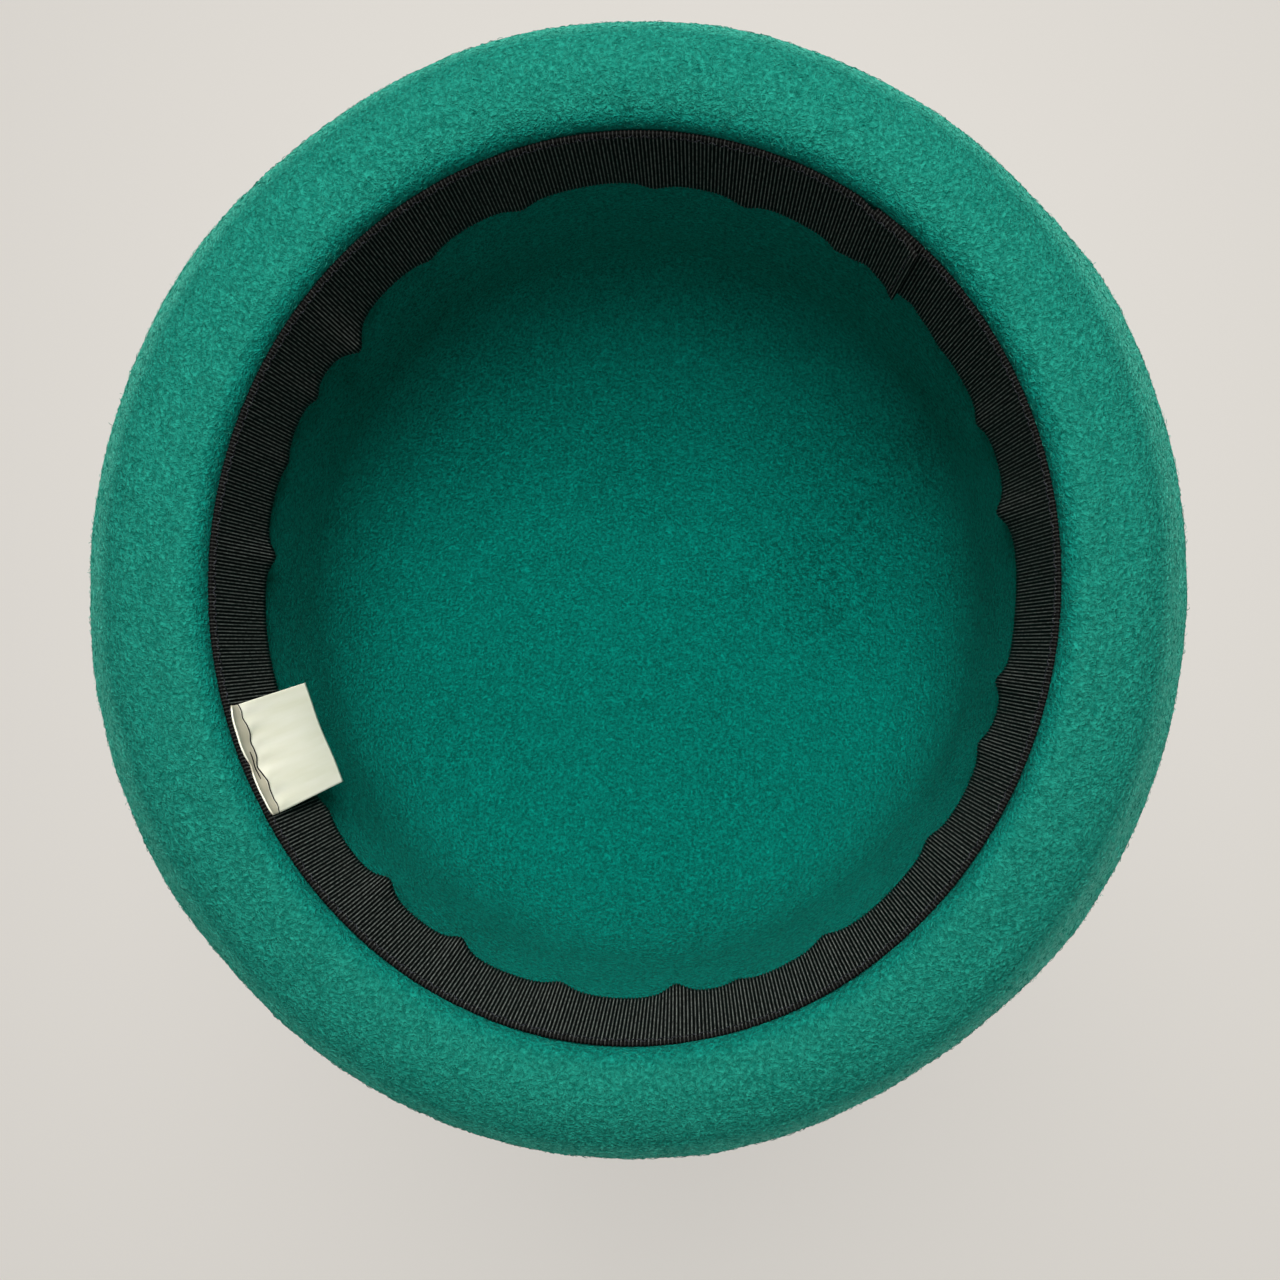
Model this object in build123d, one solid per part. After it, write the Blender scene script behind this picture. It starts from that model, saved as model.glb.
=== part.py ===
from build123d import *
import os
from math import atan, atan2, cos, degrees, hypot, pi, radians, sin, sqrt, tan

# A round felt hat with a domed crown and a short rolled brim, worn and rested crown up.
# Millimetres and degrees. +Z is up, the front faces -Y, and the lowest ring of the brim is at z = 0.
# A bearing is an angle round the oval from +X towards +Y, as seen from above.

# Felt
head_width = 175.5         # inside the felt, side to side
head_length = 188.3        # inside the felt, front to back
crown_height = 118.0       # resting face to the outside of the tip
felt_thickness = 3.0
wall_taper = 3.0           # how far the crown's wall leans in
shoulder_radius = 32.0     # inside the crown, from the wall to the tip
tip_radius = 150.0         # inside the crown, the slow dome of the tip
brim_reach_side = 27.9     # from the inside of the felt to the outermost edge, at the sides
brim_reach_end = 25.0      # the same at the front and back
brim_curl_radius = 17.0    # underside of the rolled brim
brim_root_angle = 38.0     # how far the curl starts before its lowest ring
brim_turn = 80.0           # how far it turns up after its lowest ring
brim_lip = 4.0             # straight felt past the curl, up to the raw edge
rest_flat_depth = 0.3      # how much of the curl's lowest ring is pressed flat
break_height = 5.5         # where the inside wall ends and the brim begins
break_flare = 31.0         # how far the edge of the mouth leans out
root_share = 0.75          # of the felt's thickness, how far the crown's outside runs into the brim's root

# Sweatband: a grosgrain ribbon sewn in along its lower edge, its ends lapped
ribbon_width = 25.0
ribbon_thickness = 0.6
ribbon_lift = 0.5          # lower edge above the end of the inside wall
ribbon_clearance = 0.3     # between ribbon and felt at the sewn edge
ribbon_lean = 3.1          # how far the free edge stands in from the sewn one
lap_bearing = 129.5
lap_length = 12.0
lap_clearance = 0.15       # between the two layers of the lap
slit = 0.4                 # between the under end and the over end's fold

# Threads
thread = 0.4
thread_clearance = 0.15
band_stitch_pitch = 2.8
band_stitch_length = 2.2
band_stitch_slant = 28.0
band_stitch_inset = 1.3    # from the ribbon's lower edge to the middle of a stitch
lap_stitch_pitch = 3.0
lap_stitch_length = 1.9
lap_stitch_inset = 1.6     # from the lap's free end
label_stitch_pitch = 2.6
label_stitch_length = 1.9

# Label: a doubled satin tape, sewn across its seam allowance, free above the seam
label_bearing = -26.4
label_width = 24.5
label_hem_length = 3.4
label_hem_thickness = 0.5
label_flap_length = 25.0
label_flap_thickness = 0.5
label_flap_lean = 19.0     # from upright, at rest
label_lift = 0.4           # hem above the ribbon's lower edge
label_hem_clearance = 0.15
label_fold_gap = 0.3       # between hem and flap, where the tape bends
label_fold_step = 0.1      # flap stands this far in from the face of the hem

# Sizes that follow
mean_radius = (head_width + head_length) / 4
oval_x = head_width / 2 / mean_radius
oval_y = head_length / 2 / mean_radius
band_low = break_height + ribbon_lift
band_high = band_low + ribbon_width * cos(atan(ribbon_lean / ribbon_width))
band_slope = ribbon_lean / (band_high - band_low)
band_face = ribbon_clearance + ribbon_thickness
lap_face = band_face + lap_clearance + ribbon_thickness
hem_back = band_face + thread_clearance + thread + label_hem_clearance
hem_face = hem_back + label_hem_thickness
hem_low = band_low + label_lift
hem_high = hem_low + label_hem_length
flap_low = hem_high + label_fold_gap


def param(bearing):
    """The angle on the round pattern that the oval carries to this bearing."""
    return degrees(atan2(sin(radians(bearing)) * oval_x, cos(radians(bearing)) * oval_y))


def speed(angle, radius):
    """Oval length for each radian of the round pattern."""
    a = radians(angle)
    return radius * hypot(oval_x * sin(a), oval_y * cos(a))


def to_oval(shape):
    return scale(shape, by=(oval_x, oval_y, 1))


def section(points):
    """A straight-sided face in the plane of the radius and the height."""
    return Plane.XZ * make_face(Polyline(*points, close=True))


def sector(face, start, sweep_angle):
    """A section turned part of the way round the round pattern."""
    return revolve(Rot(0, 0, start) * face, axis=Axis.Z, revolution_arc=sweep_angle)


def band_radius(offset, height):
    """Pattern radius of a surface that leans as the ribbon does, offset in from the felt."""
    return mean_radius - offset - band_slope * (height - band_low)


def band_strip(back, front, low, high):
    """Section of a layer that lies along the ribbon, from back to front in from the felt."""
    return section([
        (band_radius(back, low), low),
        (band_radius(front, low), low),
        (band_radius(front, high), high),
        (band_radius(back, high), high),
    ])


def on_band(angle, height, offset):
    """A plane on the ribbon: x along the oval, y up the ribbon, z towards the middle of the hat."""
    a, r = radians(angle), band_radius(offset, height)
    along = Vector(-oval_x * sin(a), oval_y * cos(a), 0).normalized()
    out = Vector(oval_y * cos(a), oval_x * sin(a), 0).normalized()
    lean = atan(band_slope)
    inward = out * -cos(lean) + Vector(0, 0, -sin(lean))
    return Plane(origin=(oval_x * r * cos(a), oval_y * r * sin(a), height), x_dir=-along, z_dir=inward)


def crown_outline(grow, foot):
    """Half of the crown's outline, grown out from the inside of the felt: foot, wall, shoulder, tip."""
    t = radians(wall_taper)
    up, out = (-sin(t), cos(t)), (cos(t), sin(t))
    tip_low = crown_height - felt_thickness - tip_radius
    start = (mean_radius - shoulder_radius * out[0], break_height - shoulder_radius * out[1])
    gap = (start[0], start[1] - tip_low)
    along = gap[0] * up[0] + gap[1] * up[1]
    rise = -along + sqrt(along ** 2 - gap[0] ** 2 - gap[1] ** 2 + (tip_radius - shoulder_radius) ** 2)
    centre = (start[0] + rise * up[0], start[1] + rise * up[1])
    tip_angle = degrees(atan2(centre[1] - tip_low, centre[0]))
    wall_top = (centre[0] + (shoulder_radius + grow) * out[0], centre[1] + (shoulder_radius + grow) * out[1])
    wall_foot = (wall_top[0] + (wall_top[1] - foot) * tan(t), foot)
    shoulder = CenterArc(centre, shoulder_radius + grow, wall_taper, tip_angle - wall_taper)
    tip = CenterArc((0, tip_low), tip_radius + grow, tip_angle, 90 - tip_angle)
    return wall_foot, [Line(wall_foot, wall_top), shoulder, tip]


def crown_solid():
    """The outside of the crown, filled, down to the middle of the brim's root."""
    foot = break_height - root_share * felt_thickness
    wall_foot, curve = crown_outline(felt_thickness, foot)
    axis_foot, apex = (0, foot), (0, crown_height)
    return to_oval(revolve(Plane.XZ * make_face(curve + [Line(apex, axis_foot), Line(axis_foot, wall_foot)])))


def head_space():
    """The hollow of the crown, with the edge of the mouth opened out."""
    wall_foot, curve = crown_outline(0, break_height)
    below = -2 * felt_thickness
    flare = (wall_foot[0] + (break_height - below) * tan(radians(break_flare)), below)
    apex = (0, crown_height - felt_thickness)
    rest = Polyline(apex, (0, below), flare, wall_foot)
    return to_oval(revolve(Plane.XZ * make_face(curve + rest.edges())))


def brim_ring():
    """The rolled brim, swept round the oval, a little wider at the sides than at the ends."""
    reach = (brim_reach_side + brim_reach_end) / 2
    side, end = brim_reach_side / reach, brim_reach_end / reach
    centre = (reach - brim_curl_radius, brim_curl_radius - rest_flat_depth)
    under, top = brim_curl_radius, brim_curl_radius - felt_thickness
    first, turn = -90 - brim_root_angle, brim_root_angle + brim_turn

    def at(radius, angle, past=0.0):
        a = radians(angle)
        x = centre[0] + radius * cos(a) - past * sin(a)
        return x, centre[1] + radius * sin(a) + past * cos(a)

    last = first + turn
    outline = [
        CenterArc(centre, under, first, turn),
        Line(at(under, last), at(under, last, brim_lip)),
        Line(at(under, last, brim_lip), at(top, last, brim_lip)),
        Line(at(top, last, brim_lip), at(top, last)),
        CenterArc(centre, top, first, turn),
        Line(at(top, first), at(under, first)),
    ]
    path_x, path_y = head_width / 2 / side, head_length / 2 / end
    face = Pos(path_x, 0, 0) * (Plane.XZ * make_face(outline))
    ring = sweep(face, path=Wire.make_ellipse(path_x, path_y))
    return scale(ring, by=(side, end, 1))


def felt_body():
    beyond = 2 * (head_length + brim_reach_end + brim_reach_side)
    ground = Pos(0, 0, -crown_height) * Box(beyond, beyond, 2 * crown_height)
    return crown_solid() + brim_ring() - head_space() - ground


def sweatband():
    """The ribbon: one open turn, whose over end folds in and covers the under end."""
    angle = param(lap_bearing)
    per_mm = degrees(1 / speed(angle, mean_radius))
    turn = 360 - slit * per_mm
    fold_width = 2 * ribbon_thickness * per_mm
    ribbon = sector(band_strip(ribbon_clearance, band_face, band_low, band_high), angle, turn)
    over = band_strip(band_face + lap_clearance, lap_face, band_low, band_high)
    fold = band_strip(ribbon_clearance, lap_face, band_low, band_high)
    lap = sector(over, angle - lap_length * per_mm, (lap_length + ribbon_thickness) * per_mm)
    return to_oval(ribbon + lap + sector(fold, angle, fold_width))


def stitch(plane, length, slant=0.0):
    return plane * Rot(0, 0, slant) * Box(length, thread, thread)


def sweatband_stitches():
    """The zigzag that holds the ribbon's lower edge to the felt, over the lap where it meets it."""
    around = sum(speed(a, mean_radius - band_face) * pi / 180 for a in range(360))
    count = 2 * round(around / band_stitch_pitch / 2)
    lap = param(lap_bearing)
    per_mm = degrees(1 / speed(lap, mean_radius))
    margin = band_stitch_length * per_mm
    legs, angle = [], 0.0
    for i in range(count):
        lapped = -lap_length * per_mm - margin < angle - lap < margin
        face = lap_face if lapped else band_face
        place = on_band(angle, band_low + band_stitch_inset, face + thread_clearance + thread / 2)
        legs.append(stitch(place, band_stitch_length, band_stitch_slant * (-1) ** i))
        angle += degrees(around / count / speed(angle, mean_radius - band_face))
    return Compound(children=legs)


def lap_stitches():
    """A short row up the lap, near its free end."""
    angle = param(lap_bearing)
    row = angle - degrees((lap_length - lap_stitch_inset) / speed(angle, mean_radius))
    low = band_low + 2 * band_stitch_inset + lap_stitch_pitch / 2
    count = int((band_high - low) / lap_stitch_pitch)
    offset = lap_face + thread_clearance + thread / 2
    heights = [low + (i + 0.5) * lap_stitch_pitch for i in range(count)]
    return Compound(children=[stitch(on_band(row, h, offset), lap_stitch_length, 90) for h in heights])


def label_span():
    """First angle and width, on the round pattern, of the label."""
    middle = param(label_bearing)
    width = degrees(label_width / speed(middle, mean_radius - hem_face))
    return middle - width / 2, width


def label_hem():
    return to_oval(sector(band_strip(hem_back, hem_face, hem_low, hem_high), *label_span()))


def label_flap():
    """The free part of the label, leaning in from its fold line."""
    lean = radians(label_flap_lean)
    back = band_radius(hem_face + label_fold_step, flap_low)
    front = back - label_flap_thickness
    rise, run = label_flap_length * cos(lean), label_flap_length * sin(lean)
    corners = [(back, flap_low), (front, flap_low), (front - run, flap_low + rise), (back - run, flap_low + rise)]
    return to_oval(sector(section(corners), *label_span()))


def label_stitches():
    """A row through the hem, just below the fold line."""
    middle = param(label_bearing)
    count = int((label_width - label_stitch_length) / label_stitch_pitch) + 1
    per_mm = degrees(1 / speed(middle, mean_radius - hem_face))
    height = (hem_low + hem_high) / 2
    offset = hem_face + thread_clearance + thread / 2
    places = [middle + (i - (count - 1) / 2) * label_stitch_pitch * per_mm for i in range(count)]
    return Compound(children=[stitch(on_band(a, height, offset), label_stitch_length) for a in places])


os.makedirs("parts", exist_ok=True)
for make in (felt_body, sweatband, sweatband_stitches, lap_stitches, label_hem, label_flap, label_stitches):
    export_step(make(), "parts/" + make.__name__ + ".step")

# The fold line of the label, for the record: the chord between the flap's inner corners
first, width = label_span()
flap_face = hem_face + label_fold_step + label_flap_thickness
left, right = [on_band(angle, flap_low, flap_face).origin for angle in (first, first + width)]
print("label fold line", (left + right) / 2, "along", (left - right).normalized())
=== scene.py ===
import bpy
import numpy as np
from math import atan2, cos, degrees, exp, hypot, pi, radians, sin, sqrt, tau
from mathutils import Matrix, Vector, noise


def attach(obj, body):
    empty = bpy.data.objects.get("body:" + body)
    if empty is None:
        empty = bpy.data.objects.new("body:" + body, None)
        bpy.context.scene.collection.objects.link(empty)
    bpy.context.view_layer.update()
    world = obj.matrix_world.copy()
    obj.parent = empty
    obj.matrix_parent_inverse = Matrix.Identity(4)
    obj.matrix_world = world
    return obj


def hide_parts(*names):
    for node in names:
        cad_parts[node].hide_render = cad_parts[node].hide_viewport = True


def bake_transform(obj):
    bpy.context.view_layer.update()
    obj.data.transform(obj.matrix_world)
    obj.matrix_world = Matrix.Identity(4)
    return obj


# A round felt hat with a rolled brim, seen from below: felt, sewn-in ribbon, label and their threads.
# Sizes are in millimetres and turned into metres as each mesh is made. A bearing is an angle round the
# oval from +X towards +Y. An offset is a distance out from the inside of the felt, so the ribbon's are
# below zero.

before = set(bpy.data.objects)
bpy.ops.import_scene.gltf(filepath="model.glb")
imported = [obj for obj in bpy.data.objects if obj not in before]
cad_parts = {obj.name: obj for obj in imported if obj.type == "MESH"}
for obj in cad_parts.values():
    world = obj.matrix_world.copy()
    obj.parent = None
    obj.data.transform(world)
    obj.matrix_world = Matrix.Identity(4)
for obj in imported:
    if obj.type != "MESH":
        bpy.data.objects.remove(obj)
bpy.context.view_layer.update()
MM = 0.001

# Felt
HALF_WIDTH = 87.75         # inside the felt
HALF_LENGTH = 94.15
MEAN = (HALF_WIDTH + HALF_LENGTH) / 2
TIP = 118.0                # outside of the crown
FELT = 3.0
TAPER = radians(3.0)
SHOULDER = 32.0            # inside radii of the crown
DOME = 150.0
FOOT = 5.5                 # where the inside wall ends
ROLL = 17.0                # underside of the rolled brim
ROLL_MIDDLE = 9.45         # offset of the middle of the roll
BREAK = 5.0                # radius of the turn from wall to brim
ROLL_END = -10.0           # angle at which the roll runs out into the straight lip
LIP = 4.0
BACK_WIDENING = 0.0129     # the oval is a little egg-shaped, wider at the back
BRIM_RISE = 1.3            # how far the sides of the brim stand above its ends, halved
FLARE = 3.1                # how far the rim leans out at the sides
PROFILE_SOFTNESS = 0.7     # how far felt rounds off every corner
COLUMNS = 448              # points round the felt's mesh
FIBRE_LENGTH = 2.1
FIBRE_RADIUS = 0.08

# Ribbon
BAND_LOW = 6.0             # height of the sewn edge
BAND_RISE = 24.8           # from the sewn edge to the free edge
BAND_BACK = -0.25          # offset of the back of the ribbon
BAND_THICK = 0.55
RIB_PITCH = 0.8
RIB_DEPTH = 0.26
SEAM_SHARE = 0.045         # how far up the ribbon its edge stitches run
SEAM_PITCH = 1.4
LAP_PITCH = 2.6
LAP_BEARING = 129.5        # where the over end stops
LAP_TURN = 8.0             # degrees of ribbon that lie over its other end
LAP_STEP = 0.75            # how far the over end stands in from the under end
LAP_CURL = 1.3             # how far the over end curls in
# Where the free edge of the ribbon pinches in: bearing, depth, half-width in degrees
FLUTES = [
    (166, 2.9, 2.2), (152, 1.7, 2.0), (139, 0.6, 2.6), (132, -0.6, 1.6), (123.5, -0.8, 2.0),
    (118.6, 1.3, 1.8), (104, 1.7, 2.6), (91, 1.3, 2.2), (72, 1.6, 2.4), (57, 1.3, 2.2),
    (40, 4.4, 2.6), (30, 1.7, 1.8), (19, 1.0, 2.0), (4, 2.5, 2.2), (-20, 0.9, 14.0),
    (-37, 1.0, 2.4), (-51, 2.8, 2.4), (-65, 2.5, 2.0), (-81, 1.6, 2.2), (-98, 2.5, 2.2),
    (-107, 0.9, 2.0), (-121, 1.6, 2.4), (-142, 1.5, 2.4), (-158, 1.7, 2.2), (-168, 2.4, 2.0),
]

# Label
LABEL_BEARING = -26.4
LABEL_WIDTH = 24.5
LABEL_SEAM = 10.0          # height of the thread line
HEM = 4.0                  # tape below the thread line
HEM_TILT = 0.9             # how far the thread line stands in from the hem's lower edge
FLAP = 25.2                # tape above the thread line
FLAP_LEAN = radians(19.0)
FLAP_SKEW = 1.5            # how far the free edge is off to one side
TAPE = 0.34                # two layers of tape together

# Stage and camera, in metres and degrees
FLOOR_FLAT = 3.0           # radius at which the floor starts to turn up
FLOOR_BEND = 3.0
WALL_TOP = 9.0
BACKDROP = [(6.0, 3.6), (4.0, 2.2), (2.5, 1.25), (1.5, 0.8), (0.9, 0.62), (0.02, 0.62)]
STAGE_SIDES = 96
CAMERA_PLACE = (-0.0171, -0.01543, -0.25542)
CAMERA_TURN = (-1.05, 3.05, -1.8)


# Node trees ------------------------------------------------------------------------------------------

class Value:
    """An output in a node tree. Sums, differences and products of values add Math nodes."""

    def __init__(self, net, socket):
        self.net = net
        self.socket = socket

    def __add__(self, other):
        return self.net.math("ADD", self, other)

    def __sub__(self, other):
        return self.net.math("SUBTRACT", self, other)

    def __rsub__(self, other):
        return self.net.math("SUBTRACT", other, self)

    def __mul__(self, other):
        return self.net.math("MULTIPLY", self, other)

    __radd__ = __add__
    __rmul__ = __mul__

    def beside(self, name):
        """Another output of the node that this value comes from."""
        return Value(self.net, self.socket.node.outputs[name])


class Net:
    """A node tree and the one way of adding nodes to it."""

    def __init__(self, tree):
        self.tree = tree

    def node(self, kind, settings=None, values=None, output=0):
        """Adds a node, sets its settings and then its sockets, and gives back one of its outputs."""
        made = self.tree.nodes.new(kind)
        for name, setting in (settings or {}).items():
            if name == "stops":
                self.set_stops(made.color_ramp, setting)
            else:
                setattr(made, name, setting)
        for socket, value in (values or {}).items():
            if isinstance(value, Value):
                self.tree.links.new(value.socket, made.inputs[socket])
            else:
                made.inputs[socket].default_value = value
        return Value(self, made.outputs[output]) if len(made.outputs) else made

    @staticmethod
    def set_stops(ramp, stops):
        while len(ramp.elements) < len(stops):
            ramp.elements.new(0.5)
        for element, (place, level) in zip(ramp.elements, stops):
            element.position = place
            element.color = (level, level, level, 1)

    def math(self, operation, *values):
        return self.node("ShaderNodeMath", {"operation": operation}, dict(enumerate(values)))

    def ramp(self, value, *stops):
        """A value passed through grey stops, each a place and a level."""
        return self.node("ShaderNodeValToRGB", {"stops": stops}, {"Fac": value})

    def mix(self, share, first, second):
        return self.node(
            "ShaderNodeMix", {"data_type": "RGBA"}, {"Factor": share, 6: first, 7: second}, output=2)

    def share(self, name):
        """A share from 0 to 1 that the piece carries as an attribute."""
        return self.node("ShaderNodeAttribute", {"attribute_name": name}, output="Fac")

    def grain(self, place, scale, detail, distortion=0.0):
        """Noise over a place, from 0 to 1, with so many lumps to a unit."""
        return self.node("ShaderNodeTexNoise", values={
            "Vector": place, "Scale": scale, "Detail": detail, "Distortion": distortion})

    def stretch(self, place, *factors):
        """A place with each of its axes scaled by its own factor."""
        return self.node("ShaderNodeVectorMath", {"operation": "MULTIPLY"}, {0: place, 1: factors})

    def bump(self, height, strength, distance):
        """A normal that follows small heights, up to a distance in metres."""
        return self.node("ShaderNodeBump", values={
            "Height": height, "Strength": strength, "Distance": distance})

    def random(self, low, high, seed):
        """A random number for each element, between two limits."""
        return self.node("FunctionNodeRandomValue", {"data_type": "FLOAT"},
                         {2: low, 3: high, "Seed": seed}, output=1)

    def turn(self, rotation, axis, angle):
        """A rotation turned further about one of its own axes."""
        more = self.node("FunctionNodeAxisAngleToRotation", values={"Axis": axis, "Angle": angle})
        return self.node("FunctionNodeRotateRotation", {"rotation_space": "LOCAL"},
                         {"Rotation": rotation, "Rotate By": more})


def colour(red, green, blue):
    """A colour given in the 0 to 255 of a screen, as the light it stands for."""
    def light(level):
        level /= 255
        return level / 12.92 if level < 0.04045 else ((level + 0.055) / 1.055) ** 2.4
    return (light(red), light(green), light(blue), 1)


def finish(name):
    """An empty material: its Principled shader, and the net of its tree."""
    material = bpy.data.materials.new(name)
    material.use_nodes = True
    net = Net(material.node_tree)
    shader = material.node_tree.nodes["Principled BSDF"]
    return material, net, shader


def feed(net, shader, **values):
    """Sets or links the shader's sockets; an underscore stands for a space."""
    for name, value in values.items():
        socket = shader.inputs[name.replace("_", " ")]
        if isinstance(value, Value):
            net.tree.links.new(value.socket, socket)
        else:
            socket.default_value = value


# Materials -------------------------------------------------------------------------------------------

WOOL_SHEEN = colour(120, 205, 185)


def wool_felt():
    """Matted curls of wool: darker and more saturated inside the crown as painted shade, paler on the
    brim, and palest round the rim as a painted sheen.
    """
    material, net, shader = finish("wool_felt")
    place = net.node("ShaderNodeTexCoord", output="Object")
    rubbed, pilled = net.share("rubbed"), net.share("pilled")
    clumps = net.grain(place, 1250.0, 2.0)
    curls = net.grain(place, 640.0, 1.5, 1.6)
    pits = net.grain(place, 460.0, 2.0, 1.0)
    dye = net.grain(place, 26.0, 3.0)
    lint = (net.ramp(clumps, (0.34, 0.0), (0.66, 1.0)) * 0.55
            + net.ramp(curls, (0.4, 0.0), (0.5, 1.0), (0.6, 0.0)) * 0.45)
    # The colour follows the heights of the bump: it is darker where the lint is low and in the pits,
    # partly fibre tone and partly painted shade in those hollows.
    height = lint - net.ramp(pits, (0.36, 1.0), (0.5, 0.0)) * pilled * 0.4
    # Painted shade: the inside of the crown gets darker, more saturated colours than the brim for its
    # shade and bounced light.
    shaded_inside_tone = net.mix(net.ramp(dye, (0.3, 0.0), (0.7, 1.0)), colour(0, 82, 72), colour(0, 97, 86))
    inside = net.mix(height, shaded_inside_tone, colour(2, 147, 132))
    brim = net.mix(height, colour(8, 97, 84), colour(36, 148, 130))
    # Painted sheen: a pale rim colour for the fuzz seen edge-on round the roll.
    rim = net.mix(height, colour(40, 156, 135), colour(98, 206, 183))
    # From the painted shade inside the crown to the brim's colour, then to the painted sheen of the rim.
    painted_light = net.mix(net.ramp(rubbed, (0.0, 0.0), (0.4, 1.0)), inside, brim)
    shade = net.mix(net.ramp(rubbed, (0.42, 0.0), (1.0, 1.0)), painted_light, rim)
    feed(net, shader, Base_Color=shade, Roughness=0.95, Normal=net.bump(height, 0.9, 0.0006),
         Specular_IOR_Level=0.06, Sheen_Weight=0.03, Sheen_Roughness=0.4, Sheen_Tint=WOOL_SHEEN)
    return material


def wool_fibre(name, root, tip):
    """Loose wool, each stretch of fibre somewhere between two colours."""
    material, net, shader = finish(name)
    dye = net.grain(net.node("ShaderNodeTexCoord", output="Object"), 420.0, 1.0)
    shade = net.mix(net.ramp(dye, (0.35, 0.0), (0.65, 1.0)), root, tip)
    feed(net, shader, Base_Color=shade, Roughness=0.9, Specular_IOR_Level=0.06, Sheen_Weight=0.03,
         Sheen_Roughness=0.4, Sheen_Tint=WOOL_SHEEN)
    return material


def grosgrain():
    """Black ribbed ribbon: a painted highlight on its broken crests, one to a rib, and fine warp threads
    across them.
    """
    material, net, shader = finish("grosgrain")
    cloth = net.node("ShaderNodeUVMap", {"uv_map": "cloth"})
    ribs = net.node("ShaderNodeSeparateXYZ", values={"Vector": cloth})
    across = ribs.beside("Y")
    crest = net.ramp(net.math("PINGPONG", ribs, 0.5) * 2, (0.55, 0.0), (0.97, 1.0))
    warp = net.math("PINGPONG", across * 110, 0.5) * 2
    beads = net.grain(net.stretch(cloth, 1.0, 22.0, 1.0), 1.0, 2.0)
    # Painted highlight: rib crests are paler, broken along each rib by beads and dimmer along the sewn
    # edge.
    painted_light = crest * net.ramp(beads, (0.3, 0.2), (0.7, 1.0)) * net.ramp(across, (0.0, 0.2), (0.06, 1.0))
    shade = net.mix(painted_light, colour(1, 1, 1), colour(132, 138, 133))
    bump = net.bump(warp * 0.35 + beads * 0.5, 0.5, 0.0002)
    feed(net, shader, Base_Color=shade, Roughness=0.7, Normal=bump, Specular_IOR_Level=0.08)
    return material


def thread(name, dark, pale):
    """Twisted thread, light and dark along its twist."""
    material, net, shader = finish(name)
    twist = net.grain(net.node("ShaderNodeTexCoord", output="Object"), 2600.0, 1.0)
    shade = net.mix(net.ramp(twist, (0.35, 0.0), (0.65, 1.0)), dark, pale)
    bump = net.bump(twist, 0.5, 0.0001)
    feed(net, shader, Base_Color=shade, Roughness=0.7, Normal=bump, Specular_IOR_Level=0.12)
    return material


def satin_tape():
    """Cream satin with soft streaks of painted sheen, its hem greyer as painted shade of the puckered
    thread line.
    """
    material, net, shader = finish("satin_tape")
    cloth = net.node("ShaderNodeUVMap", {"uv_map": "cloth"})
    streaks = net.grain(net.stretch(cloth, 9.0, 1.2, 1.0), 1.0, 3.0)
    floats = net.grain(net.stretch(cloth, 260.0, 30.0, 1.0), 1.0, 1.0)
    along = net.node("ShaderNodeSeparateXYZ", values={"Vector": cloth}).beside("Y")
    hem = net.ramp(along, (0.0, 0.0), (0.018, 0.0), (0.03, 1.0), (0.125, 1.0), (0.137, 0.0))
    # Painted sheen: lighter streaks along the tape; the gloss follows the same streaks.
    unshaded_tape = net.mix(net.ramp(streaks, (0.3, 0.0), (0.7, 1.0)),
                    colour(238, 237, 214), colour(249, 248, 232))
    # Painted shade: the hem below the thread line is greyer.
    shade = net.mix(hem * 0.85, unshaded_tape, colour(172, 166, 144))
    gloss = net.ramp(streaks, (0.3, 0.34), (0.7, 0.5))
    feed(net, shader, Base_Color=shade, Roughness=gloss, Normal=net.bump(floats, 0.25, 0.0001),
         Specular_IOR_Level=0.5, Sheen_Weight=0.1)
    return material


# Shape of the hat ------------------------------------------------------------------------------------

def smooth_step(x):
    """A smooth climb from 0 to 1."""
    x = np.clip(x, 0, 1)
    return x * x * (3 - 2 * x)


def arc(centre, radius, first, last):
    """Points every quarter of a millimetre along an arc, its angles in degrees."""
    count = max(3, int(abs(radians(last - first)) * radius * 4))
    angles = np.radians(np.linspace(first, last, count))
    return np.stack([centre[0] + radius * np.cos(angles), centre[1] + radius * np.sin(angles)], 1)


def line(start, end):
    """Points every quarter of a millimetre along a straight line."""
    count = max(2, int(hypot(end[0] - start[0], end[1] - start[1]) * 4))
    return np.linspace(start, end, count)


def crown_line(grow, foot):
    """The crown from the middle of its tip down to the foot of its wall, as offsets and heights."""
    dome_low = TIP - FELT - DOME
    up = (-sin(TAPER), cos(TAPER))
    out = (cos(TAPER), sin(TAPER))
    start = (-SHOULDER * out[0], FOOT - SHOULDER * out[1])
    gap = (start[0] + MEAN, start[1] - dome_low)
    along = gap[0] * up[0] + gap[1] * up[1]
    rise = -along + sqrt(along ** 2 - gap[0] ** 2 - gap[1] ** 2 + (DOME - SHOULDER) ** 2)
    middle = (start[0] + rise * up[0], start[1] + rise * up[1])
    meeting = degrees(atan2(middle[1] - dome_low, middle[0] + MEAN))
    dome = arc((-MEAN, dome_low), DOME + grow, 90, meeting)
    shoulder = arc(middle, SHOULDER + grow, meeting, degrees(TAPER))
    top = shoulder[-1]
    wall = line(top, (top[0] + (top[1] - foot) * sin(TAPER) / cos(TAPER), foot))
    return np.concatenate([dome, shoulder[1:], wall[1:]])


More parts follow.
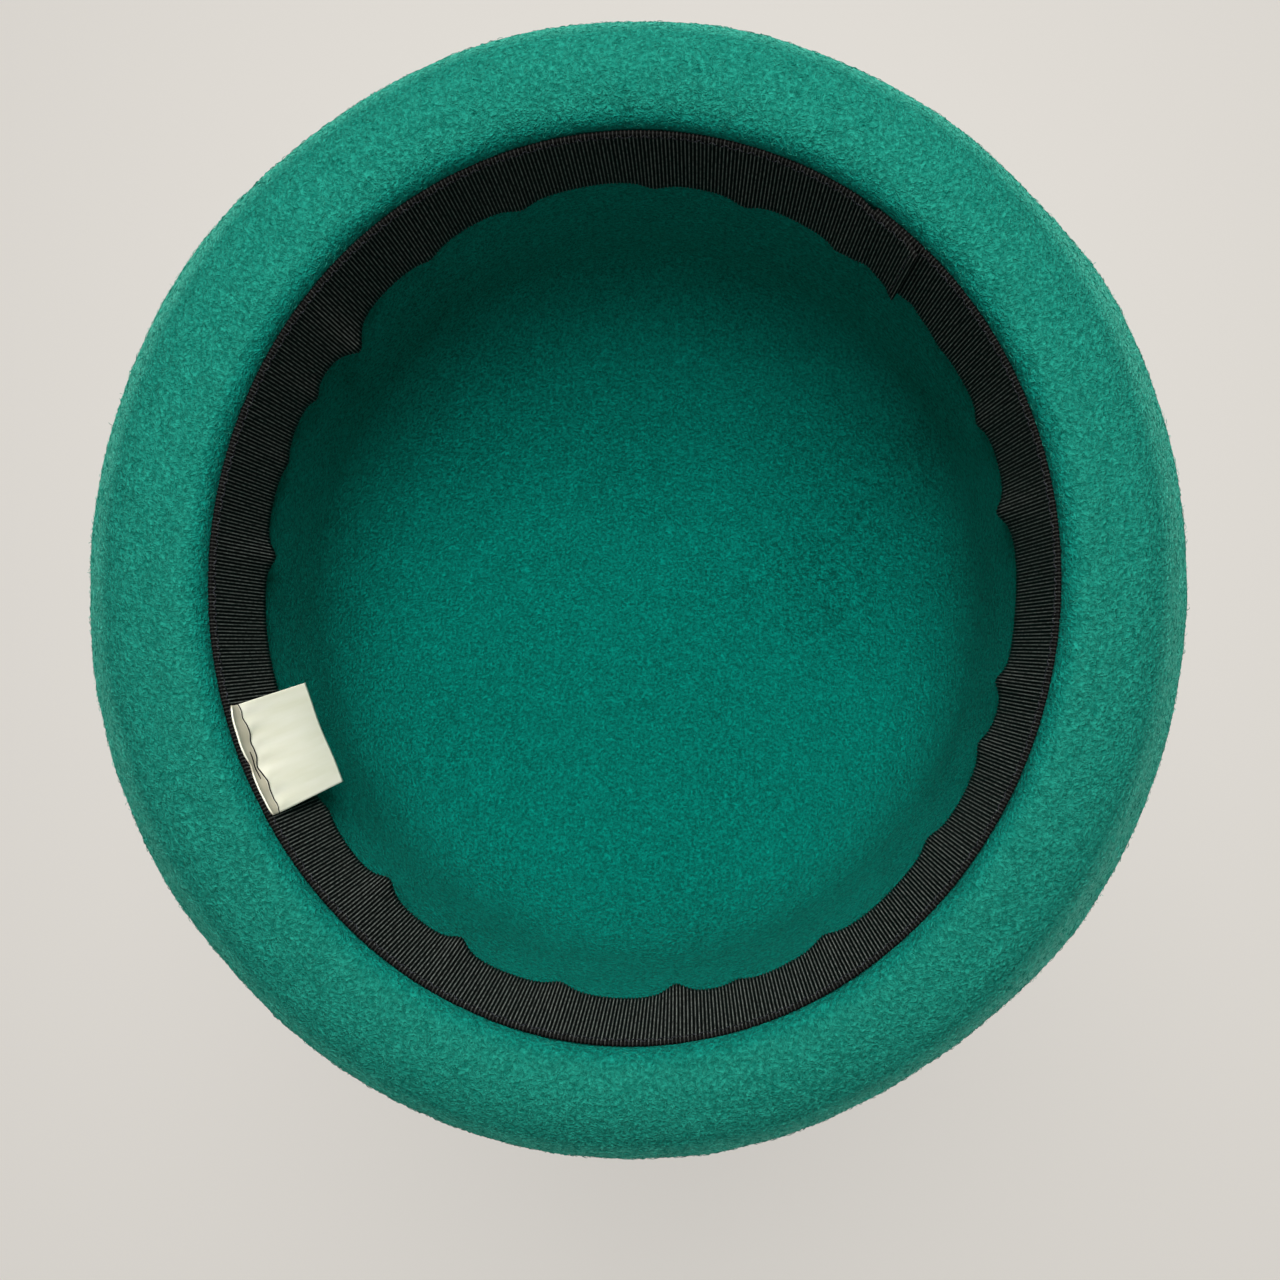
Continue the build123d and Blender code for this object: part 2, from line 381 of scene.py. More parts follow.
def felt_section():
    """The felt's whole section, from the inside of the tip round the brim to the outside of the tip."""
    roll = (ROLL_MIDDLE, ROLL)
    turn_height = ROLL - sqrt((ROLL - BREAK) ** 2 - (ROLL_MIDDLE - BREAK) ** 2)
    meeting = degrees(atan2(turn_height - ROLL, BREAK - ROLL_MIDDLE))
    end = radians(ROLL_END)

    def lip(radius):
        near = (roll[0] + radius * cos(end), roll[1] + radius * sin(end))
        return near, (near[0] - LIP * sin(end), near[1] + LIP * cos(end))

    under, over = lip(ROLL), lip(ROLL - FELT)
    points = np.concatenate([
        crown_line(0, turn_height),
        arc((BREAK, turn_height), BREAK, -180, meeting)[1:],
        arc(roll, ROLL, meeting, ROLL_END)[1:],
        line(*under)[1:],
        line(under[1], over[1])[1:],
        line(over[1], over[0])[1:],
        arc(roll, ROLL - FELT, ROLL_END, -112)[1:],
        crown_line(FELT, 8.0)[::-1],
    ])
    return soften(points)


def soften(points):
    """Evenly spaced points along the section with every corner rounded."""
    step = 0.25
    travel = np.concatenate([[0], np.cumsum(np.hypot(*np.diff(points, axis=0).T))])
    even = np.arange(0, travel[-1], step)
    points = np.stack([np.interp(even, travel, points[:, axis]) for axis in (0, 1)], 1)
    reach = int(4 * PROFILE_SOFTNESS / step)
    weights = np.exp(-0.5 * (np.arange(-reach, reach + 1) * step / PROFILE_SOFTNESS) ** 2)
    weights /= weights.sum()
    padded = np.pad(points, ((reach, reach), (0, 0)), mode="edge")
    soft = np.stack([np.convolve(padded[:, axis], weights, mode="valid") for axis in (0, 1)], 1)
    soft[0], soft[-1] = points[0], points[-1]
    return soft


def felt_rows():
    """The rows of the felt's mesh: close together in the brim, wider apart in the crown."""
    section = felt_section()
    offset, height = section.T
    in_brim = smooth_step((16 - np.abs(height - 8)) / 8) * smooth_step((offset + 6) / 4)
    density = 1 / (2.7 - 1.75 * in_brim)
    travel = np.concatenate([[0], np.cumsum(density[1:])])
    count = int(travel[-1] * 0.25)
    places = np.linspace(0, travel[-1], count)
    return np.stack([np.interp(places, travel, section[:, axis]) for axis in (0, 1)], 1)


def oval(bearing, offset, height):
    """Points of the hat: bearings in radians, offsets and heights in millimetres, broadcast together."""
    turn = np.arctan2(np.sin(bearing) * HALF_WIDTH, np.cos(bearing) * HALF_LENGTH)
    egg = 1 + BACK_WIDENING * np.sin(turn)
    inner = np.minimum(offset, 0) / MEAN + 1
    outer = np.maximum(offset, 0)
    side = np.stack([np.cos(turn) * HALF_LENGTH, np.sin(turn) * HALF_WIDTH])
    side = side / np.hypot(side[0], side[1])
    far = smooth_step(outer / 12)
    # The brim is wider at the sides than at the ends, and widest on one side
    reach = 1 + far * (0.012 + 0.042 * np.cos(2 * turn) + 0.010 * np.sin(turn) + 0.043 * np.cos(turn))
    x = HALF_WIDTH * np.cos(turn) * egg * inner + side[0] * outer * reach
    y = HALF_LENGTH * np.sin(turn) * inner + side[1] * outer * reach
    z = height + BRIM_RISE * (1 + np.cos(2 * turn)) * far + 0 * x
    return np.stack([x, y, z], -1)


def normals_of(grid, wrap):
    """Unit normals of a grid of points, rows by columns; wrap says that the columns close up."""
    down = np.gradient(grid, axis=0)
    if wrap:
        across = (np.roll(grid, -1, 1) - np.roll(grid, 1, 1)) / 2
    else:
        across = np.gradient(grid, axis=1)
    normal = np.cross(down, across)
    return normal / np.maximum(np.linalg.norm(normal, axis=-1, keepdims=True), 1e-12)


def rough(points, size, seed):
    """Smooth noise from -1 to 1 at each point, with lumps of that size in millimetres."""
    shift = Vector((seed * 17.3, seed * 5.1, seed * 9.7))
    flat = points.reshape(-1, 3) / size
    levels = [noise.noise(Vector(p) + shift) for p in flat.tolist()]
    return np.array(levels).reshape(points.shape[:-1])


# Meshes ----------------------------------------------------------------------------------------------

def grid_faces(rows, columns, wrap):
    """Faces between neighbouring rows and columns of a grid of points."""
    last = columns if wrap else columns - 1
    row, column = np.meshgrid(np.arange(rows - 1), np.arange(last), indexing="ij")
    beside = (column + 1) % columns
    faces = np.stack([row * columns + column, row * columns + beside,
                      (row + 1) * columns + beside, (row + 1) * columns + column], -1)
    return faces.reshape(-1, 4).tolist()


def add_piece(name, points, faces, material, uv=None):
    """A mesh object from points in millimetres, with its faces turned outwards."""
    mesh = bpy.data.meshes.new(name)
    mesh.from_pydata((points * MM).tolist(), [], faces)
    mesh.materials.append(material)
    if uv is not None:
        layer = mesh.uv_layers.new(name="cloth")
        corners = np.zeros(len(mesh.loops), int)
        mesh.loops.foreach_get("vertex_index", corners)
        layer.data.foreach_set("uv", uv[corners].astype(np.float32).ravel())
    mesh.validate()
    if signed_volume(mesh) < 0:
        mesh.flip_normals()
    mesh.shade_smooth()
    piece = bpy.data.objects.new(name, mesh)
    bpy.context.scene.collection.objects.link(piece)
    return piece


def vertex_rows(mesh, key):
    """The places ("co") or normals ("normal") of a mesh's vertices, one row each."""
    values = np.zeros(len(mesh.vertices) * 3)
    mesh.vertices.foreach_get(key, values)
    return values.reshape(-1, 3)


def set_share(piece, name, shares):
    """Keeps a share for each vertex of the piece as an attribute."""
    attribute = piece.data.attributes.new(name, "FLOAT", "POINT")
    attribute.data.foreach_set("value", shares.astype(np.float32))


def signed_volume(mesh):
    """Six times the volume inside the mesh, below zero where its faces point inwards."""
    mesh.calc_loop_triangles()
    corners = np.zeros(len(mesh.loop_triangles) * 3, int)
    mesh.loop_triangles.foreach_get("vertices", corners)
    triangle = vertex_rows(mesh, "co")[corners.reshape(-1, 3)]
    return float(np.einsum("ij,ij->", triangle[:, 0], np.cross(triangle[:, 1], triangle[:, 2])))


def flared(grid, turn, offset, height):
    """The grid with the brim's rim leaning out at the sides of the hat."""
    at_sides = smooth_step((np.cos(2 * turn) + 0.35) / 0.7)
    flare = smooth_step((height - 9) / 11) * smooth_step((offset - 20) / 3) * FLARE * at_sides
    out = np.stack([np.cos(turn), np.sin(turn), 0 * turn], -1)
    return grid + out * flare[..., None]


def felt_points(rows, bearings):
    """The felt's grid of points with its lumps, the marks inside its tip, and a ragged cut edge."""
    offset, height = rows[:, :1], rows[:, 1:]
    turn = bearings[None, :]
    grid = flared(oval(turn, offset, height), turn, offset, height)
    normal = normals_of(grid, True)
    inside_tip = smooth_step((height - 96) / 10) * smooth_step((117 - height) / 2)
    rings = 0.12 * np.cos(np.hypot(grid[..., 0] + 4, grid[..., 1] + 11) / 1.9) * inside_tip
    across = np.hypot(grid[..., 0], grid[..., 1])
    around = turn - radians(193)
    ridge = 1.1 * np.exp(-((across - 60) / 3.5) ** 2 - (around / 0.42) ** 2) * inside_tip
    lumps = 0.35 * rough(grid, 28, 1) + 0.2 * rough(grid, 7, 2) + 0.09 * rough(grid, 2.4, 3)
    cut = smooth_step((height - 16) / 3) * smooth_step((offset - 20) / 3)
    tall = grid * [1, 1, 0.2]
    ragged = cut * (0.32 * rough(tall, 1.7, 4) + 0.3 * rough(tall, 6, 5))
    off_table = smooth_step(grid[..., 2] / 1.5)
    grid = grid + normal * ((lumps + rings + ridge) * off_table)[..., None]
    grid[..., 2] += ragged
    return grid


def shade_and_sheen_shares(rows):
    """How each row of the felt is painted: 0 inside the crown for painted shade, 0.4 on the brim, up to 1
    round the roll's outer face for a painted sheen.
    """
    offset, height = rows.T
    before_edge = np.arange(len(rows)) < np.argmax(height * (offset > 20))
    brim = smooth_step((offset + 1) / 5)
    roll = smooth_step((offset - 18.5) / 7) * smooth_step((19 - height) / 3.5)
    return np.where(before_edge, 0.4 * brim + 0.6 * roll, 0.4)


def pilled_shares(points):
    """Where the inside of the felt is pilled: two patches, one on the tip and one at its shoulder."""
    x, y, z = points.T
    inside = np.arange(len(points)) < len(points) / 2
    tip_patch = np.exp(-((x + 49) / 19) ** 2 - ((y - 9) / 25) ** 2)
    shoulder_patch = np.exp(-((x + 67) / 12) ** 2 - ((y - 44) / 11) ** 2)
    return (tip_patch + 0.8 * shoulder_patch) * inside * (z > 50)


def felt_body(material):
    """The felt as one closed shell, inside and outside, with a point at each side of the tip."""
    rows = felt_rows()
    bearings = np.linspace(0, tau, COLUMNS, endpoint=False)
    grid = felt_points(rows[1:-1], bearings)
    ends = np.stack([grid[0].mean(0), grid[-1].mean(0)])
    ends[:, 2] = rows[0, 1], rows[-1, 1]
    points = np.concatenate([grid.reshape(-1, 3), ends])
    first_pole, last_pole = len(points) - 2, len(points) - 1
    faces = grid_faces(len(grid), COLUMNS, True)
    low = (len(grid) - 1) * COLUMNS
    for i in range(COLUMNS):
        j = (i + 1) % COLUMNS
        faces.append((first_pole, j, i))
        faces.append((last_pole, low + i, low + j))
    piece = add_piece("felt", points, faces, material)
    shares = shade_and_sheen_shares(rows)
    set_share(piece, "rubbed", np.concatenate([np.repeat(shares[1:-1], COLUMNS), shares[[0, -1]]]))
    set_share(piece, "pilled", pilled_shares(points))
    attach(piece, "hat")
    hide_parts("felt_body")
    return piece


# Ribbon ----------------------------------------------------------------------------------------------

def free_edge_lean(bearing):
    """How far the ribbon's free edge stands in from its sewn edge: a slow lean, and sharp flutes."""
    away = (bearing - 80 + 180) % 360 - 180
    slow = 2.5 - 1.9 * np.exp(-(away / 35) ** 2)
    flutes = 0 * bearing
    for middle, depth, width in FLUTES:
        near = np.abs((bearing - middle + 180) % 360 - 180)
        flutes = flutes + depth / (1 + (near / width) ** 2) ** 1.3
    return slow, flutes


def band_face(bearing, share, depth):
    """Points of the ribbon: bearings in degrees, shares up from its sewn edge, depths from its back."""
    slow, flutes = free_edge_lean(bearing)
    lean = slow * share + flutes * share ** 1.7
    height = BAND_LOW + BAND_RISE * share - 0.02 * lean
    return oval(np.radians(bearing), BAND_BACK - depth - lean, height)


def ribbon_loop(bearing, rib, across):
    """Rows of points up the ribbon's front and then down its back."""
    over = smooth_step(1 - (LAP_BEARING - bearing - LAP_TURN) / 3)
    lift = over * (LAP_STEP + LAP_CURL * np.exp(-((LAP_BEARING - bearing) / 1.6) ** 2))

    def face(depth, raised):
        cloth = lift[None, :] + depth + raised * rib[None, :] * RIB_DEPTH
        wave = 0.12 * np.sin(bearing[None, :] / 3.1 + across[:, None] * 2) * across[:, None]
        return band_face(bearing[None, :] + 0 * cloth, across[:, None], cloth + wave)

    return np.concatenate([face(BAND_THICK, 1), face(0, -0.4)[::-1]])


def loop_faces(count, columns):
    """Faces of a flat tube whose rows run up its front and down its back, with its two ends closed."""
    faces = grid_faces(count, columns, False)
    last = (count - 1) * columns
    faces += [(last + i, last + i + 1, i + 1, i) for i in range(columns - 1)]
    for column in (0, columns - 1):
        for row in range(count // 2 - 1):
            mirror = count - 1 - row
            quad = [row * columns + column, (row + 1) * columns + column,
                    (mirror - 1) * columns + column, mirror * columns + column]
            faces.append(quad if column == 0 else quad[::-1])
    return faces


def sweatband(material):
    """One open turn of grosgrain, its last stretch lying over its first, with every rib raised."""
    ribs = round(radians(360 + LAP_TURN) * MEAN / RIB_PITCH)
    share_along = np.linspace(0, 1, ribs * 4 + 1)
    bearing = LAP_BEARING - (360 + LAP_TURN) * share_along
    rib = (1 - np.cos(share_along * ribs * tau)) / 2
    across = np.linspace(0, 1, 13)
    loop = ribbon_loop(bearing, rib, across)
    across_uv = np.concatenate([across, across[::-1]])[:, None]
    uv = np.stack(np.broadcast_arrays(share_along[None, :] * ribs, across_uv), -1)
    faces = loop_faces(*loop.shape[:2])
    piece = add_piece("ribbon", loop.reshape(-1, 3), faces, material, uv.reshape(-1, 2))
    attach(piece, "hat")
    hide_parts("sweatband")


# Label -----------------------------------------------------------------------------------------------

def label_frame():
    """Matrix that carries the label's own sizes, along, up and inwards, onto the ribbon."""
    place = band_face(np.array([LABEL_BEARING]), np.array([0.0]), np.array([BAND_THICK + 0.5]))[0]
    ahead, behind = (band_face(np.array([LABEL_BEARING + side]), np.array([0.0]),
                               np.array([BAND_THICK]))[0] for side in (1, -1))
    along = Vector(ahead - behind).normalized()
    inward = Vector((0, 0, 1)).cross(along)
    turned = Matrix((along, Vector((0, 0, 1)), inward)).transposed().to_4x4()
    origin = Vector((place[0], place[1], LABEL_SEAM))
    return Matrix.Translation(origin) @ turned


def carried(place, points):
    """Points of the label's own frame, carried onto the hat."""
    return points @ np.array(place.to_3x3()).T + np.array(place.translation)


def seam_line(side):
    """The thread line across the label: each point's height, and how far it stands in."""
    height = 0.3 * np.sin(side * 5.2 + 0.6) + 0.12 * np.sin(side * 31)
    pucker = 0.2 * np.sin(side * 26 + 1.0)
    notch = np.exp(-((side + 0.04) / 0.09) ** 2)
    ends = 1 - 0.7 * np.abs(2 * side) ** 6
    return height, (HEM_TILT * (1 - 0.6 * notch) + pucker) * ends


def end_bend(side):
    """How far in the ribbon's curve carries the label towards its ends."""
    return 0.9 * (2 * side) ** 2


def hem_inward(side, share, seam_in):
    """How far in the hem stands, at a share of the way down from the thread line."""
    hollow = -0.3 * np.sin(share * pi) + 0.25 * smooth_step((share - 0.75) / 0.25)
    return seam_in * (1 - share) + hollow + end_bend(side)


def flap_inward(side, share, seam_in):
    """How far in the flap stands before it leans, at a share of the way up from the thread line."""
    creases = 0.16 * np.sin(side * 43 + 1.3) * np.exp(-share * 7) * smooth_step(share * 12)
    billow = 0.6 * np.sin(share * pi) * np.cos(side * pi) + 0.12 * np.sin(side * 9 + share * 4)
    settled = HEM_TILT * 0.8 + (seam_in - HEM_TILT * 0.8) * np.exp(-share * 9)
    return settled + creases + billow * share + end_bend(side) * (1 - share * 0.8)


def label_shape(side, up):
    """The label's middle layer in its own frame, and how far along the tape each point is."""
    seam_height, seam_in = seam_line(side)
    hem_edge = HEM * (1 + 0.08 * np.sin(side * tau) - 0.3 * np.exp(-((side + 0.04) / 0.07) ** 2)
                      - 0.25 * np.abs(2 * side) ** 8)
    length = np.where(up < 0, up * hem_edge, up * FLAP)
    hem_share, flap_share = np.clip(-up, 0, 1), np.clip(up, 0, 1)
    inward = np.where(up > 0, flap_inward(side, flap_share, seam_in) + length * sin(FLAP_LEAN),
                      hem_inward(side, hem_share, seam_in))
    rise = np.where(up > 0, length * cos(FLAP_LEAN), length) + seam_height * np.exp(-((length / 5) ** 2))
    width = side * LABEL_WIDTH * (1 - 0.01 * flap_share) + FLAP_SKEW * flap_share
    return width, rise, inward, length


def doubled_faces(rows, columns):
    """Faces of two layers of a grid, front and back, joined all round their border."""
    front = grid_faces(rows, columns, False)
    under = rows * columns
    back = [tuple(under + i for i in reversed(face)) for face in front]
    border = list(range(columns)) + [r * columns + columns - 1 for r in range(1, rows)]
    border += [(rows - 1) * columns + c for c in range(columns - 2, -1, -1)]
    border += [r * columns for r in range(rows - 2, 0, -1)]
    rim = [(there, here, under + here, under + there)
           for here, there in zip(border, border[1:] + border[:1])]
    return front + back + rim


def label(material):
    """The doubled tape: a splayed hem below the thread line and a flap that leans in above it."""
    across = np.linspace(-0.5, 0.5, 65)
    along = np.concatenate([np.linspace(-1, 0, 15)[:-1], np.linspace(0, 1, 41)])
    side, up = np.meshgrid(across, along)
    width, rise, inward, length = label_shape(side, up)
    half = TAPE / 2 * (1 - 0.35 * np.exp(-(up / 0.04) ** 2))
    place = label_frame()

    def layer(shift):
        own = np.stack([width, rise, inward + shift * half], -1)
        return carried(place, own).reshape(-1, 3)

    points = np.concatenate([layer(1), layer(-1)])
    uv = np.stack([side + 0.5, (length + HEM) / (HEM + FLAP)], -1).reshape(-1, 2)
    piece = add_piece("label", points, doubled_faces(*side.shape), material, np.concatenate([uv, uv]))
    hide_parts("label_hem", "label_flap")
    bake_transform(piece)
    return place


# Repeated shapes by Geometry Nodes -------------------------------------------------------------------

def tube(path, radius, sides):
    """Points and faces of a closed round bar along a short path, in millimetres."""
    path = np.asarray(path, float)
    heading = np.gradient(path, axis=0)
    heading /= np.linalg.norm(heading, axis=1, keepdims=True)
    left = np.cross(heading, [0, 0, 1.0])
    left /= np.maximum(np.linalg.norm(left, axis=1, keepdims=True), 1e-9)
    up = np.cross(left, heading)
    angle = np.arange(sides) * tau / sides
    swell = radius * np.sin(np.linspace(0.16, 0.84, len(path)) * pi) ** 0.5
    ring = left[:, None] * np.cos(angle)[None, :, None] + up[:, None] * np.sin(angle)[None, :, None]
    points = (path[:, None] + ring * swell[:, None, None]).reshape(-1, 3)
    faces = grid_faces(len(path), sides, True)
    faces += [list(range(sides))[::-1], [len(points) - sides + i for i in range(sides)]]
    return points, faces


def pattern_object(name, points, faces, material):
    """A shape for Geometry Nodes to repeat; it isn't part of the scene itself."""
    mesh = bpy.data.meshes.new(name)
    mesh.from_pydata((np.asarray(points) * MM).tolist(), [], faces)
    mesh.materials.append(material)
    if signed_volume(mesh) < 0:
        mesh.flip_normals()
    mesh.shade_smooth()
    return bpy.data.objects.new(name, mesh)


def new_tree(name, inputs):
    """A Geometry Nodes tree with named inputs, its net, and the values of those inputs by name."""
    tree = bpy.data.node_groups.new(name, "GeometryNodeTree")
    tree.interface.new_socket("Geometry", in_out="OUTPUT", socket_type="NodeSocketGeometry")
    for key, kind in inputs.items():
        tree.interface.new_socket(key, in_out="INPUT", socket_type=kind)
    net = Net(tree)
    given = tree.nodes.new("NodeGroupInput")
    return tree, net, {key: Value(net, given.outputs[key]) for key in inputs}


def close_tree(net, instances, material):
    """Ends a tree: its instances made real, with their material."""
    whole = net.node("GeometryNodeRealizeInstances", values={"Geometry": instances})
    painted = net.node("GeometryNodeSetMaterial", values={"Geometry": whole, "Material": material})
    out = net.tree.nodes.new("NodeGroupOutput")
    net.tree.links.new(painted.socket, out.inputs["Geometry"])


def run_tree(tree, base, settings, name):
    """Runs the tree on an object and gives its result back as a plain mesh piece."""
    modifier = base.modifiers.new(tree.name, "NODES")
    modifier.node_group = tree
    for item in tree.interface.items_tree:
        if item.in_out == "INPUT" and item.name in settings:
            modifier[item.identifier] = settings[item.name]
    seen = bpy.context.evaluated_depsgraph_get()
    seen.update()
    mesh = bpy.data.meshes.new_from_object(base.evaluated_get(seen), depsgraph=seen)
    base.modifiers.remove(modifier)
    mesh.name = name
    piece = bpy.data.objects.new(name, mesh)
    bpy.context.scene.collection.objects.link(piece)
    return piece


def nap_tree():
    """Short curled fibres lying on a surface, turned and sized at random."""
    tree, net, given = new_tree("nap", {
        "Geometry": "NodeSocketGeometry", "Fibres": "NodeSocketCollection", "Density": "NodeSocketFloat",
        "Where": "NodeSocketString", "Stand": "NodeSocketFloat", "Shortest": "NodeSocketFloat",
        "Longest": "NodeSocketFloat", "Seed": "NodeSocketInt", "Finish": "NodeSocketMaterial"})
    seed = given["Seed"]
    where = net.node("GeometryNodeInputNamedAttribute", {"data_type": "FLOAT"}, {"Name": given["Where"]})
    roots = net.node("GeometryNodeDistributePointsOnFaces", values={
        "Mesh": given["Geometry"], "Density": where * given["Density"], "Seed": seed})
    spun = net.turn(roots.beside("Rotation"), (0, 0, 1), net.random(-pi, pi, seed))
    placed = net.turn(spun, (0, 1, 0), 0 - net.random(-0.35, given["Stand"], seed + 1))
    size = net.random(given["Shortest"], given["Longest"], seed + 2)
    shapes = net.node("GeometryNodeCollectionInfo", values={
        "Collection": given["Fibres"], "Separate Children": True, "Reset Children": True})
    fibres = net.node("GeometryNodeInstanceOnPoints", values={
        "Points": roots, "Instance": shapes, "Pick Instance": True, "Rotation": placed, "Scale": size})
    close_tree(net, fibres, given["Finish"])
    return tree


def fibre_shapes(material):
    """A few curled fibres, each rooted at its start and arching a little off the surface."""
    collection = bpy.data.collections.new("fibres")
    random = np.random.default_rng(7)
    steps = np.linspace(0, 1, 4)
    for _ in range(6):
        curl = random.uniform(-2.4, 2.4)
        wander = random.uniform(-0.7, 0.7, 2)
        heading = curl * (steps - 0.5) + wander[0] * np.sin(steps * 5)
        x = np.concatenate([[0], np.cumsum(np.cos(heading[1:]))]) * FIBRE_LENGTH / 3
        y = np.concatenate([[0], np.cumsum(np.sin(heading[1:]))]) * FIBRE_LENGTH / 3
        z = -0.08 + 0.34 * np.sin(steps * pi * 0.85) + 0.1 * wander[1] * steps
        points, faces = tube(np.stack([x, y, z], 1), FIBRE_RADIUS, 3)
        collection.objects.link(pattern_object("fibre", points, faces, material))
    return collection


def nap_zones(felt):
    """Which vertices of the felt each piece of the nap grows from."""
    x, y, z = vertex_rows(felt.data, "co").T / MM
    nx, ny, nz = vertex_rows(felt.data, "normal").T
    radius = np.hypot(x / HALF_WIDTH, y / HALF_LENGTH)
    outward = (nx * x + ny * y) / np.maximum(np.hypot(x, y), 1e-6)
    brim = (radius > 1.003) & (z < 24)
    under = brim & ((nz < -0.05) | ((outward > 0.3) & (z < 17)))
    inside = (radius < 1.0) & (z > 26) & ((outward < 0) | ((nz < 0) & (z > 60)))
    edge = brim & (z > 14) & (outward > -0.4) & (radius > 1.15)
    return {
        "nap_brim_left": under & (x > 0) & (y > 0),
        "nap_brim_right": under & (x <= 0) & (y > 0),
        "nap_brim_back": under & (x <= 0) & (y <= 0),
        "nap_brim_front": under & (x > 0) & (y <= 0),
        "nap_edge": edge,
        "nap_inside": inside,
        "nap_outside": ~under & ~inside & ~edge & ((outward > 0) | (nz > 0)),
    }


def nap(felt):
    """The felt's nap in pieces: four on the brim's underside, its edge, and both faces of the crown."""
    # Painted light in the fibres: paler at the edge for a painted sheen round the rim, darker inside for
    # painted shade in the crown.
    brim_fibre = wool_fibre("brim_fibre", colour(0, 104, 91), colour(44, 153, 135))
    sheen_edge_fibre = wool_fibre("sheen_edge_fibre", colour(30, 144, 125), colour(86, 196, 174))
    shaded_inside_fibre = wool_fibre("shaded_inside_fibre", colour(0, 93, 82), colour(4, 137, 122))
    # Fibres to a square metre, how far they stand up, shortest and longest scale, and finish
    growth = {
        "brim": (1100000.0, 0.06, 0.35, 0.85, brim_fibre),
        "edge": (900000.0, 0.35, 0.25, 0.6, sheen_edge_fibre),
        "inside": (120000.0, 0.06, 0.35, 0.9, shaded_inside_fibre),
        "outside": (100000.0, 0.06, 0.4, 1.0, brim_fibre),
    }
    tree = nap_tree()
    fibres = fibre_shapes(brim_fibre)
    for (name, where), seed in zip(nap_zones(felt).items(), (3, 4, 5, 6, 7, 11, 13)):
        density, stand, shortest, longest, material = growth[name.split("_")[1]]
        set_share(felt, name, where.astype(float))
        piece = run_tree(tree, felt, {"Fibres": fibres, "Density": density, "Where": name, "Stand": stand,
                                      "Shortest": shortest, "Longest": longest, "Seed": seed,
                                      "Finish": material}, name)
        felt.data.attributes.remove(felt.data.attributes[name])
        piece.data.shade_smooth()
        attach(piece, "hat")


def stitch_tree(material):
    """Stitches along a line, each turned the other way from the last."""
    tree, net, given = new_tree("stitches", {
        "Geometry": "NodeSocketGeometry", "Stitch": "NodeSocketObject", "Pitch": "NodeSocketFloat",
        "Slant": "NodeSocketFloat", "Unevenness": "NodeSocketFloat", "Seed": "NodeSocketInt"})
    curve = net.node("GeometryNodeMeshToCurve", values={"Mesh": given["Geometry"]})
    row = net.node("GeometryNodeResampleCurve", {"mode": "LENGTH"},
                   {"Curve": curve, "Length": given["Pitch"]})
    facing = net.node("GeometryNodeInputNamedAttribute", {"data_type": "FLOAT_VECTOR"},
                      {"Name": "facing"})
    lying = net.node("FunctionNodeAxesToRotation", {"primary_axis": "Z", "secondary_axis": "X"},
                     {"Primary Axis": facing, "Secondary Axis": net.node("GeometryNodeInputTangent")})
    parity = net.math("MODULO", net.node("GeometryNodeInputIndex"), 2) * 2 - 1
    slant = given["Slant"] * parity + given["Unevenness"] * net.random(-1.0, 1.0, given["Seed"])
    shape = net.node("GeometryNodeObjectInfo", values={"Object": given["Stitch"]}, output="Geometry")
    laid = net.node("GeometryNodeInstanceOnPoints", values={
        "Points": row, "Instance": shape, "Rotation": net.turn(lying, (0, 0, 1), slant)})
    close_tree(net, laid, material)
    return tree


def stitch_shape(name, length, radius, material):
    """One stitch: a bar of thread that arches up and dips into the cloth at both ends."""
    share = np.linspace(-0.5, 0.5, 6)
    path = np.stack([share * length, 0 * share, radius * (1.1 - 7.5 * share ** 2)], 1)
    points, faces = tube(path, radius, 6)
    return pattern_object(name, points, faces, material)


def guide(name, points, facing):
    """A line for stitches to follow, with the direction that the cloth faces at each point."""
    mesh = bpy.data.meshes.new(name)
    mesh.from_pydata((points * MM).tolist(), [(i, i + 1) for i in range(len(points) - 1)], [])
    layer = mesh.attributes.new("facing", "FLOAT_VECTOR", "POINT")
    layer.data.foreach_set("vector", facing.astype(np.float32).ravel())
    made = bpy.data.objects.new(name, mesh)
    bpy.context.scene.collection.objects.link(made)
    return made


def sew(name, tree, stitch, points, facing, pitch, slant, unevenness, seed):
    """A row of stitches along a line on the ribbon."""
    rail = guide(name + "_line", points, facing)
    piece = run_tree(tree, rail, {"Stitch": stitch, "Pitch": pitch * MM, "Slant": slant,
                                  "Unevenness": unevenness, "Seed": seed}, name)
    bpy.data.objects.remove(rail)
    piece.data.shade_smooth()
    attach(piece, "hat")
    return piece


def band_line(bearings, share, depth):
    """Points on the ribbon's face and the directions that it faces there."""
    points = band_face(bearings, share + 0 * bearings, depth + 0 * bearings)
    above = band_face(bearings, share + 0.02 + 0 * bearings, depth + 0 * bearings)
    ahead = band_face(bearings + 0.05, share + 0 * bearings, depth + 0 * bearings)
    facing = np.cross(ahead - points, above - points)
    facing /= np.linalg.norm(facing, axis=1, keepdims=True)
    inward = -(facing[:, :1] * points[:, :1] + facing[:, 1:2] * points[:, 1:2])
    return points, facing * np.sign(inward)


